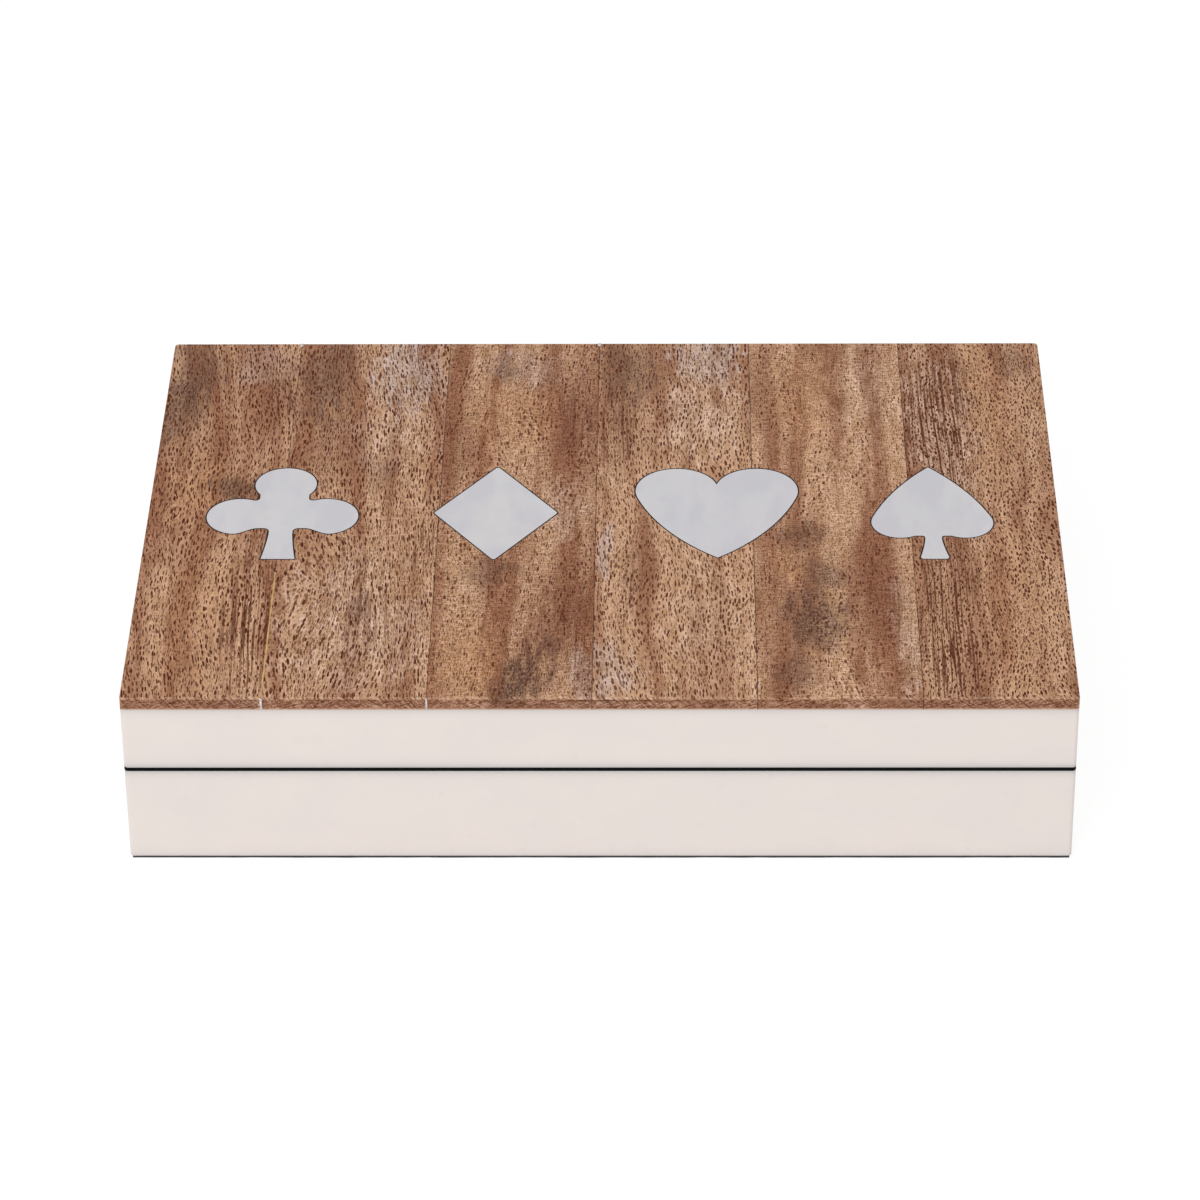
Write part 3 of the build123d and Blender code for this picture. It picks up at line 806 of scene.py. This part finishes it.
def felt_material(name, tone, lint_tone):
    """Pressed felt: tangled fibres, lighter lint and flattened places."""
    material, shader, place = new_material(name)
    nap = use_group(felt_nap, Place=place)
    pale = [min(1.0, part * 2.4 + 0.012) for part in tone]
    colour = blend(remap(nap["Fibres"], 0.45, 0.72) * 0.9, tone, pale)
    colour = blend(nap["Lint"] * 0.35, colour, lint_tone)
    pressed = remap(nap["Press"], 0.3, 0.7, 0.75, 1.2, smooth=False)
    colour = blend(1.0, colour, join(pressed, pressed, pressed), "MULTIPLY")
    roughness = remap(nap["Fibres"], 0.3, 0.8, 0.85, 1.0)
    finish_surface(shader, colour, roughness, nap["Fibres"], depth=0.25, strength=0.8)
    shader.inputs["Sheen Weight"].default_value = 0.25
    shader.inputs["Sheen Roughness"].default_value = 0.6
    return material


def brass_material(name, metal, tarnish_share):
    """Drawn brass, a little tarnished, with fine lines along its length."""
    material, shader, place = new_material(name)
    wear = use_group(metal_wear, Place=place)
    dull = remap(wear["Dull"], 0.4, 0.72, 0.0, tarnish_share)
    colour = blend(dull, metal.brass, metal.tarnish)
    colour = blend(wear["Pits"] * 0.6, colour, metal.tarnish)
    roughness = remap(wear["Lines"] + dull, 0.3, 1.3, 0.22, 0.48)
    finish_surface(shader, colour, roughness, wear["Lines"] - wear["Pits"], depth=0.02)
    shader.inputs["Metallic"].default_value = 1.0
    return material


# Pieces


def new_object(name, bm, material):
    """A smooth object from a bmesh in millimetres, with its material."""
    bmesh.ops.scale(bm, vec=(MM, MM, MM), verts=bm.verts)
    mesh = bpy.data.meshes.new(name)
    bm.to_mesh(mesh)
    bm.free()
    mesh.materials.append(material)
    mesh.shade_smooth()
    made = bpy.data.objects.new(name, mesh)
    bpy.context.scene.collection.objects.link(made)
    return made


def new_piece(name, bm, material, body):
    """An object that rides on a body and belongs to a material slot."""
    piece = new_object(name, bm, material)
    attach(piece, body)
    return piece


def add_block(bm, low, high):
    """Adds a rectangular block between two corners."""
    corners = bmesh.ops.create_cube(bm, size=1.0)["verts"]
    bmesh.ops.scale(bm, vec=high - low, verts=corners)
    bmesh.ops.translate(bm, vec=(low + high) / 2, verts=corners)


def add_underside(bm, level):
    """Closes an upper skin with walls and a flat underside at some level."""
    upper = bm.verts[:]
    rim = [edge.verts[:] for edge in bm.edges if edge.is_boundary]
    below = bmesh.ops.duplicate(bm, geom=upper + bm.edges[:] + bm.faces[:])["vert_map"]
    for vertex in upper:
        below[vertex].co.z = level
    for first, second in rim:
        bm.faces.new((first, second, below[second], below[first]))
    bmesh.ops.recalc_face_normals(bm, faces=bm.faces)


# Felt: length of its facets in millimetres, how far its soft face sinks in shares of its thickness, and
# how often its edge and its face wander in a millimetre
FELT_STEP = 1.5
FELT_SOFTNESS = 0.2
EDGE_WANDER = 0.3
FACE_WANDER = 0.39
SOFT_ABOVE = 1
SOFT_BELOW = -1
FLAT_BOTH_SIDES = 0


def felt_sheet(low, high, wave, soft_side):
    """Sheet of felt between two corners, in millimetres: its edge wanders, and one face or none is soft."""
    size = high - low
    middle = (low + high) / 2
    bm = bmesh.new()
    columns = round(size.x / FELT_STEP)
    rows = round(size.y / FELT_STEP)
    bmesh.ops.create_grid(bm, x_segments=columns, y_segments=rows, size=0.5)
    bmesh.ops.scale(bm, vec=(size.x, size.y, 1.0), verts=bm.verts)
    bmesh.ops.translate(bm, vec=(middle.x, middle.y, high.z), verts=bm.verts)
    add_underside(bm, low.z)
    for vertex in bm.verts:
        spot = Vector((vertex.co.x, vertex.co.y, 0.0))
        inwards = wave * (0.5 + 0.5 * noise.noise(spot * EDGE_WANDER))
        if min(vertex.co.x - low.x, high.x - vertex.co.x) < FELT_STEP / 10:
            vertex.co.x += math.copysign(inwards, middle.x - vertex.co.x)
        if min(vertex.co.y - low.y, high.y - vertex.co.y) < FELT_STEP / 10:
            vertex.co.y += math.copysign(inwards, middle.y - vertex.co.y)
        if (vertex.co.z - middle.z) * soft_side > 0.0:
            sink = size.z * FELT_SOFTNESS * (0.5 + 0.5 * noise.noise(spot * FACE_WANDER))
            vertex.co.z -= soft_side * sink
    return bm


def lay_felt(node_name, piece_name, material, body, soft_side):
    """Lays a sheet of felt in place of a CAD node."""
    low, high = node_box(node_name)
    wave = bpy.context.scene.card_box.dark.felt_wave / MM
    piece = new_piece(piece_name, felt_sheet(low, high, wave, soft_side), material, body)
    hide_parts(node_name)


class CARDBOX_OT_slats(Operator):
    """Give each slat of the lid its own piece of wood"""

    bl_idname = "cardbox.slats"
    bl_label = "Wood slats"

    def execute(self, context):
        wood = context.scene.card_box.wood
        for index, (name, slat) in enumerate(SLATS.items()):
            dress(slat_material(name, slat, shift=index * GRAIN_SHIFT, wood=wood), name)
        return {"FINISHED"}


# What the maker left at the slats' joints, in millimetres: glue that stops short of the ends and is sunk
GLUE_SHORT = 0.1
GLUE_SUNK = 0.06

# A bead of glue along the first joint: its width and height, how far from the front it starts, where it
# ends, the number of its facets, how uneven its width is, how often that changes in a millimetre, and the
# share of its height that is sunk
BEAD_WIDTH = 0.36
BEAD_HEIGHT = 0.04
BEAD_START = 0.4
BEAD_END = -22.0
BEAD_STEPS = 90
BEAD_UNEVEN = 0.6
BEAD_WANDER = 0.35
BEAD_SUNK = 0.2

# Filler at the ends of some joints, counted from the left: its widths, how far it stands proud, how far it
# stays from the edges and from the slats' foot, and how deep and long it is
FRONT_FILLER = {0: 0.42, 1: 0.3}
BACK_FILLER = {0: 0.5, 2: 0.6}
FILLER_PROUD = 0.02
FILLER_SHORT = 0.1
FILLER_FOOT = 0.05
FILLER_DEPTH = 0.3
FILLER_LENGTH = 1.2


def add_bead(bm, x, front, top):
    """Adds the bead of glue, which swells and thins along its joint."""
    start = front + BEAD_START
    bmesh.ops.create_grid(bm, x_segments=2, y_segments=BEAD_STEPS, size=0.5)
    bmesh.ops.scale(bm, vec=(BEAD_WIDTH, BEAD_END - start, 1.0), verts=bm.verts)
    bmesh.ops.translate(bm, vec=(0.0, (BEAD_END + start) / 2, 0.0), verts=bm.verts)
    for vertex in bm.verts:
        crown = 1.0 - abs(vertex.co.x) / (BEAD_WIDTH / 2)
        squeeze = noise.noise(Vector((0.0, vertex.co.y * BEAD_WANDER, 0.0)))
        vertex.co.x = x + vertex.co.x * (1.0 + BEAD_UNEVEN * squeeze)
        vertex.co.z = top + BEAD_HEIGHT * (crown - BEAD_SUNK)
    add_underside(bm, top - BEAD_HEIGHT)


class CARDBOX_OT_joint_glue(Operator):
    """Fill the joints between the slats with glue, with the bead and the filler left by the maker"""

    bl_idname = "cardbox.joint_glue"
    bl_label = "Glue in the slat joints"

    def execute(self, context):
        tones = context.scene.card_box.joints
        boxes = [node_box(name) for name in SLATS]
        joints = [(left[1], right[0]) for left, right in zip(boxes, boxes[1:])]
        middles = [(left.x + right.x) / 2 for left, right in joints]
        foot, front = boxes[0][0].zy
        top, back = boxes[0][1].zy

        strips = bmesh.new()
        for left, right in joints:
            low = Vector((left.x, front + GLUE_SHORT, foot))
            add_block(strips, low, Vector((right.x, back - GLUE_SHORT, top - GLUE_SUNK)))
        glue_tones = (context.scene.card_box.wood.umber, tones.dust)
        glue = mottled_material(
            "slat_joint_glue", glue_tones, ((1.0, 5.0, 1.0), 2.0), (0.35, 0.65), (0.4, 0.65), 0.05
        )
        new_piece("slat_joint_glue", strips, glue, "lid")

        bead = bmesh.new()
        add_bead(bead, middles[0], front, top)
        bead_tones = (tones.bead, tones.bead_shade)
        glue = mottled_material(
            "yellow_glue_bead", bead_tones, ((0.6, 3.0, 0.6), 3.0, 0.6), (0.35, 0.65), (0.3, 0.55), 0.05
        )
        new_piece("slat_glue_bead", bead, glue, "lid")

        filler = bmesh.new()
        for index, width in FRONT_FILLER.items():
            low = Vector((middles[index] - width / 2, front - FILLER_PROUD, foot + FILLER_FOOT))
            high = Vector((middles[index] + width / 2, front + FILLER_DEPTH, top - FILLER_SHORT))
            add_block(filler, low, high)
        for index, width in BACK_FILLER.items():
            low = Vector((middles[index] - width / 2, back - FILLER_LENGTH, top - FILLER_DEPTH))
            high = Vector((middles[index] + width / 2, back - FILLER_SHORT, top + FILLER_PROUD))
            add_block(filler, low, high)
        filler_tones = (tones.filler, tones.filler_shade)
        chalk = mottled_material(
            "white_joint_filler", filler_tones, ((0.3, 0.3, 0.3), 3.0, 0.7), (0.4, 0.7), (0.7, 0.9), 0.06
        )
        new_piece("slat_joint_filler", filler, chalk, "lid")
        return {"FINISHED"}


class CARDBOX_OT_inlays(Operator):
    """Finish the four suits and the glue round them"""

    bl_idname = "cardbox.inlays"
    bl_label = "Suit inlays"

    def execute(self, context):
        resin = context.scene.card_box.resin
        dress(inlay_material(resin), *(f"{suit}_inlay" for suit in SUITS))
        tones = (resin.glue, resin.glue_thin)
        cloud = ((1.8, 1.8, 1.8), 3.0)
        tone_range = (0.42, 0.68, 0.0, 0.6)
        glue = mottled_material("dark_inlay_glue", tones, cloud, tone_range, (0.45, 0.7), 0.05, DRIED)
        dress(glue, "inlay_glue_lines")
        return {"FINISHED"}


class CARDBOX_OT_cladding(Operator):
    """Finish the cream resin on the sides of the base and the lid"""

    bl_idname = "cardbox.cladding"
    bl_label = "Resin cladding"

    def execute(self, context):
        material = cladding_material(context.scene.card_box.resin)
        dress(material, *(f"{part}_{side}_cladding" for part in ("base", "lid") for side in SIDES))
        return {"FINISHED"}


class CARDBOX_OT_boards(Operator):
    """Paint the boards inside and the edging of the rims black"""

    bl_idname = "cardbox.boards"
    bl_label = "Painted boards and rims"

    def execute(self, context):
        dark = context.scene.card_box.dark
        walls = [f"{part}_{side}_wall" for part in ("base", "lid") for side in SIDES]
        dress(painted_board_material(dark), "base_floor_board", "lid_board", "deck_divider", *walls)
        dress(edging_material(dark), "base_rim_edging", "lid_rim_edging")
        return {"FINISHED"}


class CARDBOX_OT_linings(Operator):
    """Lay felt in the wells and in the lid"""

    bl_idname = "cardbox.linings"
    bl_label = "Lining felts"

    def execute(self, context):
        dark = context.scene.card_box.dark
        felt = felt_material("lining_felt", dark.lining, dark.lint)
        beds = {
            "left_well_lining": ("base", "base_floor_board", SOFT_ABOVE),
            "right_well_lining": ("base", "base_floor_board", SOFT_ABOVE),
            "lid_lining": ("lid", "lid_board", SOFT_BELOW),
        }
        for node_name, (body, bed, soft_side) in beds.items():
            lay_felt(node_name, f"{node_name}_felt", felt, body, soft_side)
        return {"FINISHED"}


class CARDBOX_OT_underside(Operator):
    """Lay felt under the base"""

    bl_idname = "cardbox.underside"
    bl_label = "Underside felt"

    def execute(self, context):
        dark = context.scene.card_box.dark
        felt = felt_material("underside_felt", dark.underside, dark.lint)
        node_name = "underside_felt"
        lay_felt(node_name, f"{node_name}_sheet", felt, "base", FLAT_BOTH_SIDES)
        return {"FINISHED"}


class CARDBOX_OT_hinges(Operator):
    """Finish the brass hinges and their screws"""

    bl_idname = "cardbox.hinges"
    bl_label = "Brass hinges"

    def execute(self, context):
        metal = context.scene.card_box.metal
        pieces = ("base_leaf", "lid_leaf", "pin")
        leaves = [f"hinge_{side}_{piece}" for side in HINGES for piece in pieces]
        dress(brass_material("hinge_brass", metal, tarnish_share=0.45), *leaves)
        screws = ("base_hinge_screws", "lid_hinge_screws")
        dress(brass_material("screw_brass", metal, tarnish_share=0.8), *screws)
        return {"FINISHED"}


# The studio: the camera's angles, where it looks, its sensor in millimetres, how near and far it sees, and
# where the lamps stand and how large they are, in metres
CAMERA_TILT = math.radians(33.63)
CAMERA_PAN = math.radians(-0.94)
CAMERA_ROLL = math.radians(-0.56)
CAMERA_TARGET = Vector((-0.67, 0.0, 16.22)) * MM
SENSOR_WIDTH = 36.0
NEAREST_SEEN = 0.01
FARTHEST_SEEN = 100.0
KEY_PLACE = Vector((-0.7, -1.1, 1.3))
KEY_SIZE = 1.2
FILL_PLACE = Vector((1.2, -0.7, 0.9))
FILL_SIZE = 1.0

# The floor, in millimetres: half its width, and how far it lies below the box. What is seen of it is a glow
# and a share of the light on it, which keeps a faint shadow.
FLOOR_REACH = 6000.0
FLOOR_DROP = 0.02
FLOOR_GLOW = 0.86
FLOOR_SHARE = 0.2
WHITE = (1.0, 1.0, 1.0, 1.0)


def place_camera(stage):
    """Camera at the picture's angle."""
    data = bpy.data.cameras.new("studio_camera")
    data.sensor_width = SENSOR_WIDTH
    data.lens = stage.lens
    data.clip_start = NEAREST_SEEN
    data.clip_end = FARTHEST_SEEN
    camera = bpy.data.objects.new("studio_camera", data)
    bpy.context.scene.collection.objects.link(camera)
    forward = Vector((
        math.sin(CAMERA_PAN) * math.cos(CAMERA_TILT),
        math.cos(CAMERA_PAN) * math.cos(CAMERA_TILT),
        -math.sin(CAMERA_TILT),
    ))
    level_right = Vector((math.cos(CAMERA_PAN), -math.sin(CAMERA_PAN), 0.0))
    level_up = level_right.cross(forward)
    right = level_right * math.cos(CAMERA_ROLL) + level_up * math.sin(CAMERA_ROLL)
    up = level_up * math.cos(CAMERA_ROLL) - level_right * math.sin(CAMERA_ROLL)
    turn = Matrix((right, up, -forward)).transposed().to_4x4()
    camera.matrix_world = Matrix.Translation(CAMERA_TARGET - forward * stage.camera_distance) @ turn
    bpy.context.scene.camera = camera


def soft_lamp(name, place, size, watts):
    """Large square lamp that faces the box."""
    data = bpy.data.lights.new(name, "AREA")
    data.shape = "SQUARE"
    data.size = size
    data.energy = watts
    lamp = bpy.data.objects.new(name, data)
    lamp.location = place
    lamp.rotation_mode = "QUATERNION"
    lamp.rotation_quaternion = (CAMERA_TARGET - place).to_track_quat("-Z", "Y")
    bpy.context.scene.collection.objects.link(lamp)


def link_output(tree, kind, lighting, seen):
    """Links a shader that lights the box, and one that the camera, a mirror or a clear piece sees."""
    path = by_name(Value(socket) for socket in add(tree, "ShaderNodeLightPath").outputs)
    direct = calculate("MAXIMUM", path["Is Camera Ray"], path["Is Glossy Ray"])
    direct = calculate("MAXIMUM", direct, path["Is Transmission Ray"])
    inputs = {0: direct, 1: Value(lighting.outputs[0]), 2: Value(seen.outputs[0])}
    add(tree, kind, {"Surface": new_values("ShaderNodeMixShader", inputs)[0]})


def light_world(level):
    """Even light all round, white where it is seen."""
    world = bpy.data.worlds.new("studio_world")
    bpy.context.scene.world = world
    tree = empty_tree(world)
    lit = add(tree, "ShaderNodeBackground", {"Color": WHITE, "Strength": level})
    white = add(tree, "ShaderNodeBackground", {"Color": WHITE, "Strength": 1.0})
    link_output(tree, "ShaderNodeOutputWorld", lit, white)


def floor_material(colour):
    """Matt pale floor that looks white in the open and keeps a faint shadow."""
    material = bpy.data.materials.new("studio_floor")
    tree = empty_tree(material)
    matt = add(tree, "ShaderNodeBsdfDiffuse", {"Color": opaque(colour)})
    dim = add(tree, "ShaderNodeBsdfDiffuse", {"Color": opaque([FLOOR_SHARE] * 3)})
    glow = add(tree, "ShaderNodeEmission", {"Color": WHITE, "Strength": FLOOR_GLOW})
    bright = add(tree, "ShaderNodeAddShader", {0: Value(dim.outputs[0]), 1: Value(glow.outputs[0])})
    link_output(tree, "ShaderNodeOutputMaterial", matt, bright)
    return material


class CARDBOX_OT_stage(Operator):
    """Set up the floor, the light and the camera"""

    bl_idname = "cardbox.stage"
    bl_label = "Studio"

    def execute(self, context):
        stage = context.scene.card_box.stage
        bm = bmesh.new()
        bmesh.ops.create_grid(bm, x_segments=1, y_segments=1, size=FLOOR_REACH)
        bmesh.ops.translate(bm, vec=(0.0, 0.0, -FLOOR_DROP), verts=bm.verts)
        floor = new_object("studio_floor", bm, floor_material(stage.floor))
        light_world(stage.world_light)
        soft_lamp("key_lamp", KEY_PLACE, KEY_SIZE, stage.key_watts)
        soft_lamp("fill_lamp", FILL_PLACE, FILL_SIZE, stage.fill_watts)
        place_camera(stage)
        context.scene.view_settings.view_transform = "Standard"
        return {"FINISHED"}


OPERATORS = (
    CARDBOX_OT_slats,
    CARDBOX_OT_joint_glue,
    CARDBOX_OT_inlays,
    CARDBOX_OT_cladding,
    CARDBOX_OT_boards,
    CARDBOX_OT_linings,
    CARDBOX_OT_underside,
    CARDBOX_OT_hinges,
    CARDBOX_OT_stage,
)


class CARDBOX_PT_pieces(Panel):
    """Settings and pieces of the card box"""

    bl_idname = "CARDBOX_PT_pieces"
    bl_label = "Card box"
    bl_space_type = "VIEW_3D"
    bl_region_type = "UI"
    bl_category = "Card box"

    def draw(self, context):
        settings = context.scene.card_box
        for part in settings.bl_rna.properties:
            if part.type != "POINTER" or part.identifier == "rna_type":
                continue
            box = self.layout.box()
            box.label(text=part.fixed_type.description)
            group = getattr(settings, part.identifier)
            for value in group.bl_rna.properties:
                if value.identifier not in ("rna_type", "name"):
                    box.prop(group, value.identifier)
        for operator in OPERATORS:
            self.layout.operator(operator.bl_idname)


CLASSES = (
    SlatWoodSettings,
    ResinSettings,
    JointSettings,
    DarkSettings,
    BrassSettings,
    StageSettings,
    CardBoxSettings,
    *OPERATORS,
    CARDBOX_PT_pieces,
)


def register():
    for cls in CLASSES:
        bpy.utils.register_class(cls)
    bpy.types.Scene.card_box = PointerProperty(type=CardBoxSettings)


def unregister():
    del bpy.types.Scene.card_box
    for cls in reversed(CLASSES):
        bpy.utils.unregister_class(cls)


def main():
    register()
    bpy.ops.cardbox.slats()
    bpy.ops.cardbox.joint_glue()
    bpy.ops.cardbox.inlays()
    bpy.ops.cardbox.cladding()
    bpy.ops.cardbox.boards()
    bpy.ops.cardbox.linings()
    bpy.ops.cardbox.underside()
    bpy.ops.cardbox.hinges()
    bpy.ops.cardbox.stage()


if __name__ == "__main__":
    main()
